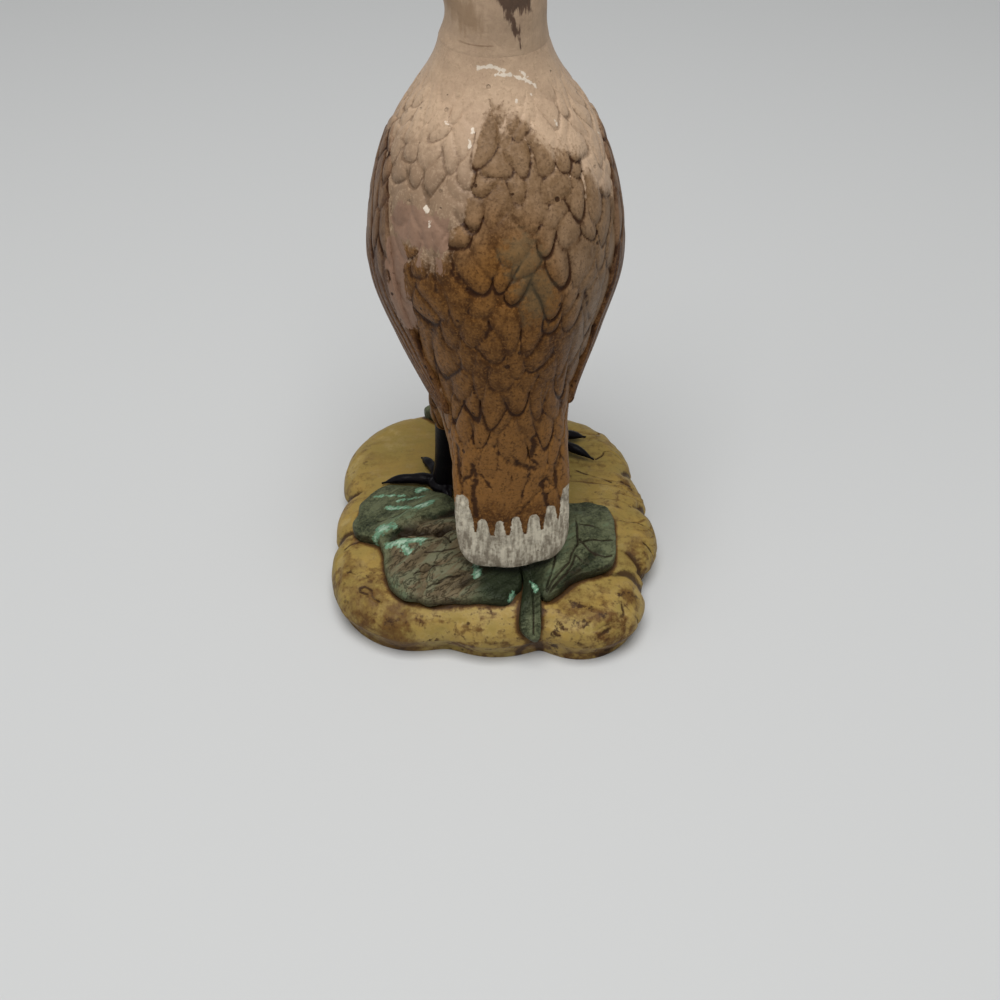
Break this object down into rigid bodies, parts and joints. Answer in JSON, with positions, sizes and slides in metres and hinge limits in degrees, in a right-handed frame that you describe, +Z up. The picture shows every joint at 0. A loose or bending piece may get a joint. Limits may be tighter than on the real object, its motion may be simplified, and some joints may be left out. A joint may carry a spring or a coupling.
{
  "type": "ceramic quail figurine",
  "caption": "Standing quail ornament in painted ceramic: feathered body and tail on slim legs, set on a lobed rock base with leaves.",
  "frame": {"origin": "middle of the rock base's footprint, on the surface it stands on", "axes": "+Z up through the bird, +Y the way the bird faces, +X to the right seen from behind the bird"},
  "size_m": [0.099, 0.102, 0.2102],
  "materials": {
    "rock_ochre": "satin stain",
    "leaf_green": "satin stain",
    "feather_brown": "matt stain over a beige base coat",
    "tail_brown": "matt stain with a white brushed tip",
    "head_tan": "matt base coat with a dark nape streak",
    "leg_black": "gloss",
    "beak_black": "satin",
    "eye_black": "gloss"
  },
  "bodies": {
    "root": {"rock_base": "rock_ochre", "leaf_left": "leaf_green", "leaf_right": "leaf_green", "leaf_front": "leaf_green", "leaf_stem": "leaf_green", "foot_left": "leg_black", "foot_right": "leg_black", "leg_left": "leg_black", "leg_right": "leg_black", "thigh_left": "feather_brown", "thigh_right": "feather_brown", "body_shell": "feather_brown", "wing_left": "feather_brown", "wing_right": "feather_brown", "tail": "tail_brown", "head_shell": "head_tan", "beak_upper": "beak_black", "beak_lower": "beak_black", "topknot": "beak_black", "eye_left": "eye_black", "eye_right": "eye_black"}
  },
  "joints": []
}
